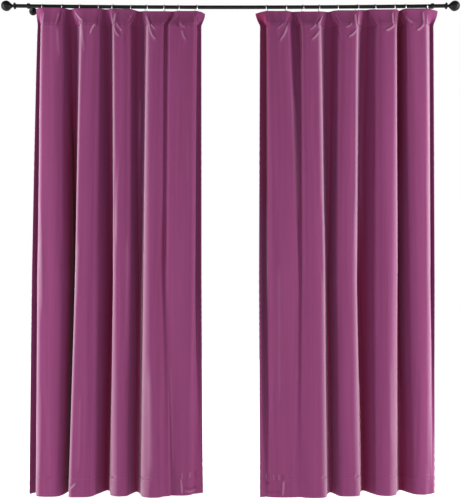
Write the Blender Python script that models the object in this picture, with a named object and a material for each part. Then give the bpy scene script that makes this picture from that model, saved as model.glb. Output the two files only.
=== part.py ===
"""Pair of blackout curtains hanging parted on a curtain rod.

Frame: X runs along the rod, +Y points into the wall, +Z is up. The origin is on the wall,
midway between the two brackets, at the height of the rod's axis over them.
All lengths are metres, except in the tables of the cloth, which are millimetres.
"""
import math
from collections import namedtuple

import bpy
from mathutils import Matrix, Vector
from mathutils.bvhtree import BVHTree

MM = 0.001
GAP = 0.0003                  # gap between the rod's ends and its finials

# Rod, brackets and finials
ROD_RADIUS = 0.008
ROD_OUT = 0.080               # rod axis in front of the wall
ROD_SAG = 0.0055              # dip of the rod midway between its brackets
BRACKET_X = 0.888             # brackets from the middle
COLLAR_X = 0.946              # inner faces of the finials' collars from the middle
BALL_RADIUS = 0.0225
BALL_OUT = 0.0405             # ball's centre from the collar's inner face
NECK_RADIUS = 0.0066
NECK_LENGTH = 0.0138          # collar's inner face to where the neck starts to widen
PLATE_RADIUS = 0.018
PLATE_HEIGHT = 0.0085
ARM_RADIUS = 0.0052
CRADLE_INNER = ROD_RADIUS + 0.00045
CRADLE_WALL = 0.0034
CRADLE_WIDTH = 0.011

# Rings
RING_INNER = 0.0155           # inner radius
RING_WIRE = 0.0013            # radius of the wire
RING_LIFT = 0.0005            # ring's inside to the top of the rod, before its facets
RING_DROP = RING_INNER - ROD_RADIUS - RING_LIFT
RING_SEAT = 0.0006            # ring to the back of the cloth it is sewn to
SEAT_SLACK = 0.0007           # how much further off the cloth is between its rings
RING_STEP = 0.0001            # step in which a ring is slid along the rod to its seat
RING_START = 0.004            # how far inside its fold that slide starts

# Cloth
CLOTH = 0.0020                # thickness of the cloth
HEAD_TOP = -0.0115            # top edge where it hangs highest, below the rod's axis
TAPE_Z = -0.088               # seam under the heading, where the folds are gathered
MID_Z = -1.200                # height of the middle section
HEM_Z = -2.144                # lower edge
HEAD_ROWS = 3                 # rows of facets in the heading,
UPPER_ROWS = 8                # from its seam to the middle section
LOWER_ROWS = 5                # and from there to the hem
STEPS = 2                     # facets between two stations of a section
HEAD_TUCK = 6.0               # how far a face falls back from its rings to its two ends
HEAD_PINCH = 1.6              # how late the heading narrows towards its seam
CROWN = 0.42                  # place of a face's crown, of the way along the face
TRAIL_EASE = 0.20             # and at its inner end, of the way to the place on its flank
STEEP_X = 0.22                # a fold's steep outer flank, halfway down: its share of the
STEEP_Y = 0.50                # way from the lead to the hollow, along the rod and in depth

# Each panel has five front folds, counted from its outer edge. Every x is a distance from the
# middle of the rod; every depth is how far the cloth stands in front of the rod's axis.
# lead, trail: outer and inner end of a fold's face. ring_out, ring_in: the two rings of the fold.
# core, valley: place and depth of the hollow after it. The drops: how much lower the top edge
# hangs.
HeadFold = namedtuple(
    "HeadFold", "lead ring_out ring_in trail core valley crest_drop valley_drop")
# crest: front of the face. ease: how far the face has rounded back at its outer end.
# soft, soft_depth: a place halfway down its soft inner flank.
Fold = namedtuple("Fold", "lead trail ease crest soft soft_depth core valley")
# The two side edges at one height, and the groove between the outer one and the first fold.
Edges = namedtuple("Edges", "outer outer_depth inner inner_depth groove groove_depth")

LEFT = {
    "side": -1,
    "head": [
        HeadFold(838, 823, 743, 731, 706, -6, 0, 0),
        HeadFold(682, 655, 581, 570, 549, 0, 1, 0),
        HeadFold(527, 519, 440, 427, 403, -8, 3, 5),
        HeadFold(379, 367, 291, 264, 251, 1, 10, 7),
        HeadFold(240, 226, 147, 137, 128, 1, 9, 10),
    ],
    "tape": [
        Fold(822, 750, 2, 38, 728, 16, 700, -18),
        Fold(651, 581, 2, 36, 568, 16, 536, -14),
        Fold(511, 449, 2, 34, 437, 12, 408, -18),
        Fold(360, 303, 5, 32, 293, 22, 285, 12),
        Fold(266, 163, 6, 32, 152, 16, 145, 4),
    ],
    "mid": [
        Fold(834, 745, 6, 56, 714, 20, 688, -50),
        Fold(671, 600, 3, 55, 566, 14, 524, -42),
        Fold(508, 446, 8, 50, 424, 10, 404, -30),
        Fold(376, 313, 13, 54, 300, 46, 288, 38),
        Fold(272, 168, 4, 52, 157, 30, 148, 12),
    ],
    "hem": [
        Fold(842, 750, 7, 50, 730, 14, 711, -48),
        Fold(700, 608, 4, 56, 585, 12, 546, -44),
        Fold(522, 452, 17, 44, 436, 8, 415, -22),
        Fold(385, 309, 18, 62, 297, 50, 286, 44),
        Fold(262, 182, 2, 33, 162, 8, 146, 2),
    ],
    "edges": {
        "top": Edges(854, 0, 113, -15, 823, 17),
        "tape": Edges(845, 13, 128, 8, 834, 4),
        "mid": Edges(872, 8, 127, 31, 849, -10),
        "hem": Edges(882, 12, 122, -10, 858, -8),
    },
    "corner_drop": (2, 14),
    "turns": (-4, 5, 6, -8, 14, -3, -22, 4, -18, -20),
}
RIGHT = {
    "side": 1,
    "head": [
        HeadFold(882, 857, 774, 757, 744, -10, 4, 5),
        HeadFold(732, 720, 641, 614, 598, -8, 6, 1),
        HeadFold(568, 561, 475, 453, 433, -8, 8, 8),
        HeadFold(407, 394, 314, 289, 273, -4, 11, 8),
        HeadFold(257, 245, 158, 147, 136, 0, 9, 9),
    ],
    "tape": [
        Fold(856, 775, 2, 34, 764, 10, 742, -24),
        Fold(722, 652, 5, 34, 632, 12, 592, -18),
        Fold(553, 486, 4, 34, 470, 10, 440, -18),
        Fold(387, 316, 5, 34, 309, 14, 302, -8),
        Fold(250, 172, 8, 32, 163, 14, 155, -8),
    ],
    "mid": [
        Fold(866, 795, 8, 50, 768, 10, 742, -40),
        Fold(725, 648, 14, 50, 615, 8, 568, -38),
        Fold(545, 468, 10, 50, 448, 6, 430, -28),
        Fold(407, 327, 10, 56, 315, 46, 306, 38),
        Fold(290, 178, 5, 52, 164, 20, 155, -4),
    ],
    "hem": [
        Fold(880, 810, 14, 22, 786, -8, 756, -46),
        Fold(724, 650, 18, 38, 622, 0, 588, -40),
        Fold(563, 475, 12, 44, 460, 14, 441, -14),
        Fold(414, 332, 12, 66, 316, 60, 302, 56),
        Fold(270, 192, 1, 60, 172, 55, 158, 50),
    ],
    "edges": {
        "top": Edges(911, 0, 111, -14, 857, 17),
        "tape": Edges(889, 14, 130, 8, 877, 3),
        "mid": Edges(896, 8, 125, 33, 881, -4),
        "hem": Edges(901, -10, 128, 56, 892, 0),
    },
    "corner_drop": (11, 13),
    "turns": (-20, 4, -22, 6, 18, -6, 4, 12, 5, -14),
}


def clear_scene():
    for obj in list(bpy.data.objects):
        bpy.data.objects.remove(obj, do_unlink=True)


def material(name, colour, roughness, metallic):
    """A plain Principled material; colour is linear RGB."""
    mat = bpy.data.materials.new(name)
    mat.use_nodes = True
    shader = mat.node_tree.nodes["Principled BSDF"]
    shader.inputs["Base Color"].default_value = (*colour, 1.0)
    shader.inputs["Roughness"].default_value = roughness
    shader.inputs["Metallic"].default_value = metallic
    return mat


def make_object(name, points, faces, mat, smooth_angle):
    mesh = bpy.data.meshes.new(name)
    mesh.from_pydata(points, [], faces)
    mesh.materials.append(mat)
    mesh.shade_smooth()
    mesh.set_sharp_from_angle(angle=math.radians(smooth_angle))
    obj = bpy.data.objects.new(name, mesh)
    bpy.context.scene.collection.objects.link(obj)
    return obj


def skin(name, sections, mat, closed=False, smooth_angle=35):
    """A solid skinned over loops of equal length; a closed one has no end caps."""
    count = len(sections)
    size = len(sections[0])
    points = [point for section in sections for point in section]
    faces = []
    for i in range(count if closed else count - 1):
        here = i * size
        there = (i + 1) % count * size
        for j in range(size):
            k = (j + 1) % size
            faces.append((here + j, here + k, there + k, there + j))
    if not closed:
        faces.append(tuple(reversed(range(size))))
        faces.append(tuple(range((count - 1) * size, count * size)))
    return make_object(name, points, faces, mat, smooth_angle)


def circle(centre, axis_a, axis_b, radius, sides):
    """A loop of points; it turns from axis_a towards axis_b."""
    turns = [2 * math.pi * i / sides for i in range(sides)]
    return [centre + (axis_a * math.cos(t) + axis_b * math.sin(t)) * radius for t in turns]


def rod_height(x):
    """Height of the sagging rod's axis."""
    return -ROD_SAG * (1 - (x / BRACKET_X) ** 2)


def make_rod(mat):
    runs = 20
    end = COLLAR_X - GAP
    sections = []
    for i in range(runs + 1):
        x = -end + 2 * end * i / runs
        centre = Vector((x, -ROD_OUT, rod_height(x)))
        sections.append(circle(centre, Vector((0, 0, 1)), Vector((0, -1, 0)), ROD_RADIUS, 24))
    return skin("rod", sections, mat)


def finial_profile():
    """(distance from the collar's inner face, radius) of the turned finial."""
    collar = [(0.0, 0.0102), (0.0006, 0.0134), (0.0016, 0.0142), (0.0050, 0.0142)]
    collar += [(0.0062, 0.0134), (0.0068, 0.0100), (0.0078, NECK_RADIUS)]
    neck = [(NECK_LENGTH, NECK_RADIUS), (NECK_LENGTH + 0.0028, NECK_RADIUS + 0.0018)]
    first, last, count = 50, 176, 12
    ball = []
    for i in range(count):
        turn = math.radians(first + (last - first) * i / (count - 1))
        ball.append((BALL_OUT - BALL_RADIUS * math.cos(turn), BALL_RADIUS * math.sin(turn)))
    return collar + neck + ball


def make_finial(name, side, mat):
    sections = []
    for along, radius in finial_profile():
        centre = Vector((side * (COLLAR_X + along), -ROD_OUT, rod_height(COLLAR_X)))
        across = Vector((0, -side, 0))
        sections.append(circle(centre, Vector((0, 0, 1)), across, radius, 24))
    return skin(name, sections, mat)


def make_bracket(name, side, mat):
    """A domed wall plate with a straight arm, and a cradle that the rod lies in."""
    centre = Vector((side * BRACKET_X, 0, 0))
    profile = [(0.0, PLATE_RADIUS), (0.0016, PLATE_RADIUS), (0.0036, PLATE_RADIUS * 0.93)]
    profile += [(0.0058, PLATE_RADIUS * 0.76), (0.0075, PLATE_RADIUS * 0.52)]
    profile += [(PLATE_HEIGHT, ARM_RADIUS), (ROD_OUT - ROD_RADIUS - 0.002, ARM_RADIUS)]
    sections = []
    for out, radius in profile:
        at = centre + Vector((0, -out, 0))
        sections.append(circle(at, Vector((0, 0, 1)), Vector((1, 0, 0)), radius, 24))
    bracket = skin(name, sections, mat)

    outer = CRADLE_INNER + CRADLE_WALL
    half = CRADLE_WIDTH / 2
    back_top, front_lip, count = 40, -205, 14
    sections = []
    for i in range(count + 1):
        turn = math.radians(back_top + (front_lip - back_top) * i / count)
        ray = Vector((0, math.cos(turn), math.sin(turn)))
        hub = centre + Vector((0, -ROD_OUT, 0))
        corners = [(-half, CRADLE_INNER), (half, CRADLE_INNER), (half, outer), (-half, outer)]
        sections.append([hub + Vector((x, 0, 0)) + ray * r for x, r in corners])
    cradle = skin(name + "_cradle_guide", sections, mat)
    cradle.hide_render = True
    cradle.display_type = "WIRE"
    union = bracket.modifiers.new("cradle", "BOOLEAN")
    union.operation = "UNION"
    union.object = cradle
    return bracket


def mix(a, b, share):
    return a + (b - a) * share


def ring_depth(turn, drop):
    """Depth of the cloth whose top edge lies on a hanging ring, turned by turn degrees."""
    middle = RING_INNER + RING_WIRE
    below = drop * MM - HEAD_TOP - RING_DROP
    reach = math.sqrt(middle ** 2 - below ** 2) + RING_WIRE
    return (reach * math.cos(math.radians(turn)) + CLOTH / 2 + RING_SEAT + SEAT_SLACK) / MM


def head_stations(panel):
    """(x, depth) of the stations along the top edge, where the rings hold the cloth."""
    edges = panel["edges"]["top"]
    turns = iter(panel["turns"])
    points = [(edges.outer, edges.outer_depth)]
    for fold in panel["head"]:
        outer = ring_depth(next(turns), fold.crest_drop)
        inner = ring_depth(next(turns), fold.crest_drop)
        points.append((fold.lead, outer - HEAD_TUCK))
        points.append((fold.ring_out, outer))
        points.append((mix(fold.ring_out, fold.ring_in, CROWN), mix(outer, inner, CROWN)))
        points.append((fold.ring_in, inner))
        points.append((fold.trail, inner - HEAD_TUCK))
        points.append((fold.core, fold.valley))
    points.append((edges.inner, edges.inner_depth))
    return points


def fold_stations(panel, level):
    """(x, depth) of the stations at the heading's seam, the middle or the hem."""
    edges = panel["edges"][level]
    points = [(edges.outer, edges.outer_depth), (edges.groove, edges.groove_depth)]
    for fold in panel[level]:
        back = points[-1]
        if points[2:]:
            points.append((mix(fold.lead, back[0], STEEP_X), mix(fold.crest, back[1], STEEP_Y)))
        points.append((fold.lead, fold.crest - fold.ease))
        points.append((mix(fold.lead, fold.trail, CROWN), fold.crest))
        points.append((fold.trail, mix(fold.crest, fold.soft_depth, TRAIL_EASE)))
        points.append((fold.soft, fold.soft_depth))
        points.append((fold.core, fold.valley))
    points.append((edges.inner, edges.inner_depth))
    return points


def stations(panel, z):
    """The stations at any height, blended between the four sections."""
    if z >= TAPE_Z:
        share = ((HEAD_TOP - z) / (HEAD_TOP - TAPE_Z)) ** HEAD_PINCH
        pairs = zip(head_stations(panel), fold_stations(panel, "tape"))
    elif z >= MID_Z:
        share = ((TAPE_Z - z) / (TAPE_Z - MID_Z)) ** 0.8
        pairs = zip(fold_stations(panel, "tape"), fold_stations(panel, "mid"))
    else:
        share = (MID_Z - z) / (MID_Z - HEM_Z)
        pairs = zip(fold_stations(panel, "mid"), fold_stations(panel, "hem"))
    return [(mix(a[0], b[0], share), mix(a[1], b[1], share)) for a, b in pairs]


def top_drops(panel):
    """How much lower than its highest places the top edge hangs, at each station."""
    outer, inner = panel["corner_drop"]
    drops = [outer]
    before = outer
    for fold in panel["head"]:
        corners = [mix(fold.crest_drop, beside, 0.45) for beside in (before, fold.valley_drop)]
        drops += [corners[0], *[fold.crest_drop] * 3, corners[1], fold.valley_drop]
        before = fold.valley_drop
    return drops + [inner]


def spline(knots, share_steps):
    """Centripetal Catmull-Rom curve through the knots, with share_steps steps in each span."""
    first = knots[0] * 2 - knots[1]
    last = knots[-1] * 2 - knots[-2]
    padded = [first, *knots, last]
    curve = []
    for i in range(1, len(padded) - 2):
        p = padded[i - 1:i + 3]
        t = [0.0]
        for a, b in zip(p, p[1:]):
            t.append(t[-1] + max((b - a).length, 1e-6) ** 0.5)
        for step in range(share_steps):
            s = mix(t[1], t[2], step / share_steps)
            a = [mix(p[k], p[k + 1], (s - t[k]) / (t[k + 1] - t[k])) for k in range(3)]
            b = [mix(a[k], a[k + 1], (s - t[k]) / (t[k + 2] - t[k])) for k in range(2)]
            curve.append(mix(b[0], b[1], (s - t[1]) / (t[2] - t[1])))
    curve.append(knots[-1])
    return curve


def row_heights():
    """Heights of the rows, close together where the heading lets the folds out."""
    head = [mix(HEAD_TOP, TAPE_Z, i / HEAD_ROWS) for i in range(HEAD_ROWS)]
    upper = [mix(TAPE_Z, MID_Z, (i / UPPER_ROWS) ** 1.7) for i in range(UPPER_ROWS)]
    lower = [mix(MID_Z, HEM_Z, i / LOWER_ROWS) for i in range(LOWER_ROWS + 1)]
    return head + upper + lower


def cloth_rows(panel):
    """Points of the cloth's middle surface, row by row from the top edge down."""
    rows = []
    for z in row_heights():
        fade = max(0, (z - TAPE_Z) / (HEAD_TOP - TAPE_Z)) * MM
        knots = []
        for (x, depth), drop in zip(stations(panel, z), top_drops(panel)):
            knots.append(Vector((x * MM, -depth * MM, z - drop * fade)))
        row = spline(knots, STEPS)
        row = [Vector((p.x * panel["side"], p.y - ROD_OUT, p.z)) for p in row]
        for p in row:
            p.z += rod_height(p.x) * fade / MM
        rows.append(row if panel["side"] < 0 else row[::-1])
    return rows


def surface_normals(rows):
    """Normals of the middle surface, pointing to the room."""
    count, size = len(rows), len(rows[0])
    normals = []
    for i in range(count):
        line = []
        for j in range(size):
            along = rows[i][min(j + 1, size - 1)] - rows[i][max(j - 1, 0)]
            down = rows[min(i + 1, count - 1)][j] - rows[max(i - 1, 0)][j]
            line.append(down.cross(along).normalized())
        normals.append(line)
    return normals


def make_panel(name, panel, mat):
    """One closed sheet of cloth, hems included."""
    rows = cloth_rows(panel)
    normals = surface_normals(rows)
    count, size = len(rows), len(rows[0])
    points = []
    for face in (0.5, -0.5):
        for row, line in zip(rows, normals):
            points += [p + n * CLOTH * face for p, n in zip(row, line)]
    back = count * size
    faces = []
    for i in range(count - 1):
        for j in range(size - 1):
            a = i * size + j
            quad = (a, a + size, a + size + 1, a + 1)
            faces.append(quad)
            faces.append(tuple(back + k for k in reversed(quad)))
    rim = [i * size for i in range(count)]
    rim += [(count - 1) * size + j for j in range(1, size)]
    rim += [i * size + size - 1 for i in range(count - 2, -1, -1)]
    rim += list(range(size - 2, 0, -1))
    for a, b in zip(rim, rim[1:] + rim[:1]):
        faces.append((b, a, back + a, back + b))
    return make_object(name, points, faces, mat, 180)


def ring_sections(x, turn):
    """Sections of a ring that hangs on the rod at x, turned about the upright."""
    centre = Vector((x, -ROD_OUT, rod_height(x) - RING_DROP))
    spin = Matrix.Rotation(math.radians(turn), 3, "Z")
    middle = RING_INNER + RING_WIRE
    sections = []
    for i in range(16):
        t = 2 * math.pi * i / 16
        ray = spin @ Vector((0, math.sin(t), math.cos(t)))
        hub = centre + ray * middle
        sections.append(circle(hub, ray, spin @ Vector((1, 0, 0)), RING_WIRE, 6))
    return sections


def points_between(sections, steps=6):
    """Points along the edges that run from each section to the next."""
    for here, there in zip(sections, sections[1:] + sections[:1]):
        for a, b in zip(here, there):
            yield from (a.lerp(b, step / steps) for step in range(steps))


def seat_ring(tree, x, turn, inward):
    """Slide the ring out of its fold's middle until it lies on the back of the cloth."""
    x += inward * RING_START
    while True:
        sections = ring_sections(x, turn)
        gap = min(tree.find_nearest(p)[3] for p in points_between(sections))
        if gap <= RING_SEAT:
            return sections
        x -= inward * RING_STEP


def make_rings(label, panel, cloth, mat):
    """Two rings to each fold, numbered from the panel's outer edge."""
    mesh = cloth.data
    tree = BVHTree.FromPolygons([v.co for v in mesh.vertices],
                                [p.vertices for p in mesh.polygons])
    side = panel["side"]
    number = 0
    for fold in panel["head"]:
        for x, inward in ((fold.ring_out, -side), (fold.ring_in, side)):
            turn = panel["turns"][number] * side
            number += 1
            sections = seat_ring(tree, side * x * MM, turn, inward)
            skin(f"ring_{label}_{number:02d}", sections, mat, closed=True, smooth_angle=180)


def main():
    clear_scene()
    black = material("black_satin_paint", (0.008, 0.008, 0.009), 0.35, 0.2)
    steel = material("ring_steel", (0.55, 0.55, 0.56), 0.3, 1.0)
    velvet = material("plum_velvet", (0.22, 0.05, 0.13), 0.85, 0.0)
    make_rod(black)
    for label, side in (("left", -1), ("right", 1)):
        make_finial("finial_" + label, side, black)
        make_bracket("bracket_" + label, side, black)
    for label, panel in (("left", LEFT), ("right", RIGHT)):
        cloth = make_panel("panel_" + label, panel, velvet)
        make_rings(label, panel, cloth, steel)


main()
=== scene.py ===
# %% [markdown]
# # A pair of blackout curtains on a curtain rod
# The real thing is two lengths of heavy plum velvet, each sewn to ten wire rings that run on a
# black rod. The rings and the row of stitches under the heading pull each length into five uneven
# front folds. Curtains could be made by dropping a cloth simulation from the rings, but a
# simulation folds where it likes. Here every fold has to stand where it stands on the real pair,
# so each cloth starts as its flat cut piece and is hung by a function, fold by fold.

# %% Load the fixed frame
import math
from collections import namedtuple

import bpy
import numpy as np
from mathutils import Matrix, Vector
from mathutils.bvhtree import BVHTree


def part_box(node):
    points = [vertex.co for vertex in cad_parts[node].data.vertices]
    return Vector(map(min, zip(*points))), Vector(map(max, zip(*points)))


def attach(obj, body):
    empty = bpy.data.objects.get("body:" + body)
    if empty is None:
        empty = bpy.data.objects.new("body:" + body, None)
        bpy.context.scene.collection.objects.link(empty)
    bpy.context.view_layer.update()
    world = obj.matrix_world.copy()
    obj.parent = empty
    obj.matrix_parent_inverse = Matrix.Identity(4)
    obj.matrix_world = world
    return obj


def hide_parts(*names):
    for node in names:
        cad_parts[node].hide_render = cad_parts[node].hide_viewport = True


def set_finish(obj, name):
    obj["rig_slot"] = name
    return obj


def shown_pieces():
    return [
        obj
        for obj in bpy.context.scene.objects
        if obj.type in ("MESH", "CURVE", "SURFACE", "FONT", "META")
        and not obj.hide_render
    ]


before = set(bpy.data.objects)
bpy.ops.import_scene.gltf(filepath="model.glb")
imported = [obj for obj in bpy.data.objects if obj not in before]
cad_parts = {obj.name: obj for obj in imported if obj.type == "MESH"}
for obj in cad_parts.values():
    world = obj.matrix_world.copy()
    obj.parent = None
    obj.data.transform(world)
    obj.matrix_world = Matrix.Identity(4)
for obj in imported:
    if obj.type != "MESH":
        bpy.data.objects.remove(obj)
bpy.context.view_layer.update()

# %% [markdown]
# ## Camera
# The pair is seen straight on from the height of its middle, through a mildly long lens, so the
# folds keep their widths from side to side.

# %% Camera
camera = bpy.data.objects.new("camera", bpy.data.cameras.new("camera"))
bpy.context.scene.collection.objects.link(camera)
camera.location = (0, -3.58, -1.0735)
camera.rotation_euler = (math.radians(90), 0, 0)
camera.data.sensor_width = 36
camera.data.lens = 57.27
bpy.context.scene.camera = camera
print("camera", tuple(camera.location), camera.data.lens, "mm")

# %% [markdown]
# ## Sizes of the hardware and the cloth
# These are the sizes that the fixed frame was built to. X runs along the rod, +Y points into the
# wall and +Z is up, from the wall midway between the brackets at the height of the rod's axis.

# %% Named sizes
MM = 0.001
GAP = 0.0003                  # gap between the rod's ends and its finials
ROD_RADIUS = 0.008
ROD_OUT = 0.080               # rod axis in front of the wall
ROD_SAG = 0.0055              # dip of the rod midway between its brackets
BRACKET_X = 0.888
COLLAR_X = 0.946
BALL_RADIUS = 0.0225
BALL_OUT = 0.0405
NECK_RADIUS = 0.0066
NECK_LENGTH = 0.0138
PLATE_RADIUS = 0.018
PLATE_HEIGHT = 0.0085
ARM_RADIUS = 0.0052
CRADLE_INNER = ROD_RADIUS + 0.00045
CRADLE_WALL = 0.0034
CRADLE_WIDTH = 0.011
RING_INNER = 0.0155
RING_WIRE = 0.0013            # radius of the wire
RING_DROP = RING_INNER - ROD_RADIUS - 0.0005
CLOTH = 0.0020                # thickness of the cloth
HEAD_TOP = -0.0115            # top edge where it hangs highest
TAPE_Z = -0.088               # seam under the heading, where the folds are gathered
MID_Z = -1.200
HEM_Z = -2.144
RING_SEAT = 0.0006            # ring to the back of the cloth it is sewn to
SEAT_SLACK = 0.0007           # how much further off the cloth is between its rings
HEAD_TUCK = 6.0               # millimetres: how far a heading's face falls back at its ends
HEAD_PINCH = 1.6              # how late the heading narrows towards its seam
CROWN = 0.42                  # place of a face's crown, of the way along the face
TRAIL_EASE = 0.20             # and at its inner end, of the way to the place on its flank
STEEP_X, STEEP_Y = 0.22, 0.50  # a fold's steep outer flank, halfway down
FLAT_WIDTH = 1.32             # cut size of each cloth, side hems and bottom hem turned
FLAT_LENGTH = HEAD_TOP - HEM_Z
print("each cloth is cut", FLAT_WIDTH, "by", round(FLAT_LENGTH, 3), "m")

# %% [markdown]
# ## Where the folds stand
# Each cloth has five front folds, counted from its outer edge. Four level sections say where they
# stand: the top edge, the seam under the heading, the middle and the hem. Every x is a distance
# in millimetres from the middle of the rod, and every depth is how far the cloth stands in front
# of the rod's axis. A fold has a sharp outer end, its lead, and a soft inner end, its trail.

# %% Fold tables
HeadFold = namedtuple(
    "HeadFold", "lead ring_out ring_in trail core valley crest_drop valley_drop")
Fold = namedtuple("Fold", "lead trail ease crest soft soft_depth core valley")
Edges = namedtuple("Edges", "outer outer_depth inner inner_depth groove groove_depth")

LEFT = {
    "side": -1,
    "head": [
        HeadFold(838, 823, 743, 731, 706, -6, 0, 0),
        HeadFold(682, 655, 581, 570, 549, 0, 1, 0),
        HeadFold(527, 519, 440, 427, 403, -8, 3, 5),
        HeadFold(379, 367, 291, 264, 251, 1, 10, 7),
        HeadFold(240, 226, 147, 137, 128, 1, 9, 10),
    ],
    "tape": [
        Fold(822, 750, 2, 38, 728, 16, 700, -18),
        Fold(651, 581, 2, 36, 568, 16, 536, -14),
        Fold(511, 449, 2, 34, 437, 12, 408, -18),
        Fold(360, 303, 5, 32, 293, 22, 285, 12),
        Fold(266, 163, 6, 32, 152, 16, 145, 4),
    ],
    "mid": [
        Fold(834, 745, 6, 56, 714, 20, 688, -50),
        Fold(671, 600, 3, 55, 566, 14, 524, -42),
        Fold(508, 446, 8, 50, 424, 10, 404, -30),
        Fold(376, 313, 13, 54, 300, 46, 288, 38),
        Fold(272, 168, 4, 52, 157, 30, 148, 12),
    ],
    "hem": [
        Fold(842, 750, 7, 50, 730, 14, 711, -48),
        Fold(700, 608, 4, 56, 585, 12, 546, -44),
        Fold(522, 452, 17, 44, 436, 8, 415, -22),
        Fold(385, 309, 18, 62, 297, 50, 286, 44),
        Fold(262, 182, 2, 33, 162, 8, 146, 2),
    ],
    "edges": {
        "top": Edges(854, 0, 113, -15, 823, 17),
        "tape": Edges(845, 13, 128, 8, 834, 4),
        "mid": Edges(872, 8, 127, 31, 849, -10),
        "hem": Edges(882, 12, 122, -10, 858, -8),
    },
    "corner_drop": (2, 14),
    "turns": (-4, 5, 6, -8, 14, -3, -22, 4, -18, -20),
}
RIGHT = {
    "side": 1,
    "head": [
        HeadFold(882, 857, 774, 757, 744, -10, 4, 5),
        HeadFold(732, 720, 641, 614, 598, -8, 6, 1),
        HeadFold(568, 561, 475, 453, 433, -8, 8, 8),
        HeadFold(407, 394, 314, 289, 273, -4, 11, 8),
        HeadFold(257, 245, 158, 147, 136, 0, 9, 9),
    ],
    "tape": [
        Fold(856, 775, 2, 34, 764, 10, 742, -24),
        Fold(722, 652, 5, 34, 632, 12, 592, -18),
        Fold(553, 486, 4, 34, 470, 10, 440, -18),
        Fold(387, 316, 5, 34, 309, 14, 302, -8),
        Fold(250, 172, 8, 32, 163, 14, 155, -8),
    ],
    "mid": [
        Fold(866, 795, 8, 50, 768, 10, 742, -40),
        Fold(725, 648, 14, 50, 615, 8, 568, -38),
        Fold(545, 468, 10, 50, 448, 6, 430, -28),
        Fold(407, 327, 10, 56, 315, 46, 306, 38),
        Fold(290, 178, 5, 52, 164, 20, 155, -4),
    ],
    "hem": [
        Fold(880, 810, 14, 22, 786, -8, 756, -46),
        Fold(724, 650, 18, 38, 622, 0, 588, -40),
        Fold(563, 475, 12, 44, 460, 14, 441, -14),
        Fold(414, 332, 12, 66, 316, 60, 302, 56),
        Fold(270, 192, 1, 60, 172, 55, 158, 50),
    ],
    "edges": {
        "top": Edges(911, 0, 111, -14, 857, 17),
        "tape": Edges(889, 14, 130, 8, 877, 3),
        "mid": Edges(896, 8, 125, 33, 881, -4),
        "hem": Edges(901, -10, 128, 56, 892, 0),
    },
    "corner_drop": (11, 13),
    "turns": (-20, 4, -22, 6, 18, -6, 4, 12, 5, -14),
}
PANELS = {"left": LEFT, "right": RIGHT}
print("folds:", {label: len(panel["mid"]) for label, panel in PANELS.items()})

# %% [markdown]
# ## Stations
# Each section is a short list of stations, such as a lead, a trail and the hollow behind. All
# sections list the same stations in the same order, so the same thread of the cloth can be
# followed from the top edge to the hem.

# %% Stations of a section


def mix(a, b, share):
    return a + (b - a) * share


def rod_height(x):
    """Height of the sagging rod's axis."""
    return -ROD_SAG * (1 - (x / BRACKET_X) ** 2)


def ring_depth(turn, drop):
    """Depth of the cloth whose top edge lies on a hanging ring, turned by turn degrees."""
    middle = RING_INNER + RING_WIRE
    below = drop * MM - HEAD_TOP - RING_DROP
    reach = math.sqrt(middle ** 2 - below ** 2) + RING_WIRE
    return (reach * math.cos(math.radians(turn)) + CLOTH / 2 + RING_SEAT + SEAT_SLACK) / MM


def head_stations(panel):
    """(x, depth) along the top edge, where the rings hold the cloth."""
    edges = panel["edges"]["top"]
    turns = iter(panel["turns"])
    points = [(edges.outer, edges.outer_depth)]
    for fold in panel["head"]:
        outer = ring_depth(next(turns), fold.crest_drop)
        inner = ring_depth(next(turns), fold.crest_drop)
        points.append((fold.lead, outer - HEAD_TUCK))
        points.append((fold.ring_out, outer))
        points.append((mix(fold.ring_out, fold.ring_in, CROWN), mix(outer, inner, CROWN)))
        points.append((fold.ring_in, inner))
        points.append((fold.trail, inner - HEAD_TUCK))
        points.append((fold.core, fold.valley))
    points.append((edges.inner, edges.inner_depth))
    return points


def fold_stations(panel, level):
    """(x, depth) at the heading's seam, the middle or the hem."""
    edges = panel["edges"][level]
    points = [(edges.outer, edges.outer_depth), (edges.groove, edges.groove_depth)]
    for fold in panel[level]:
        back = points[-1]
        if points[2:]:
            points.append((mix(fold.lead, back[0], STEEP_X), mix(fold.crest, back[1], STEEP_Y)))
        points.append((fold.lead, fold.crest - fold.ease))
        points.append((mix(fold.lead, fold.trail, CROWN), fold.crest))
        points.append((fold.trail, mix(fold.crest, fold.soft_depth, TRAIL_EASE)))
        points.append((fold.soft, fold.soft_depth))
        points.append((fold.core, fold.valley))
    points.append((edges.inner, edges.inner_depth))
    return points


def top_drops(panel):
    """How much lower than its highest places the top edge hangs, at each station."""
    outer, inner = panel["corner_drop"]
    drops = [outer]
    before = outer
    for fold in panel["head"]:
        corners = [mix(fold.crest_drop, beside, 0.45) for beside in (before, fold.valley_drop)]
        drops += [corners[0], *[fold.crest_drop] * 3, corners[1], fold.valley_drop]
        before = fold.valley_drop
    return drops + [inner]


for panel in PANELS.values():
    sections = [head_stations(panel)] + [fold_stations(panel, k) for k in ("tape", "mid", "hem")]
    panel["sections"] = np.array(sections)
    panel["drops"] = np.array(top_drops(panel))
print("stations in each section:", LEFT["sections"].shape[1])

# %% [markdown]
# ## Hanging a point of the cloth
# A point of the flat cloth has a distance across it, from its outer edge, and a height. Hanging
# it means: blend the sections for that height, and run a smooth curve through the stations.

# %% The hanging function


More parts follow.
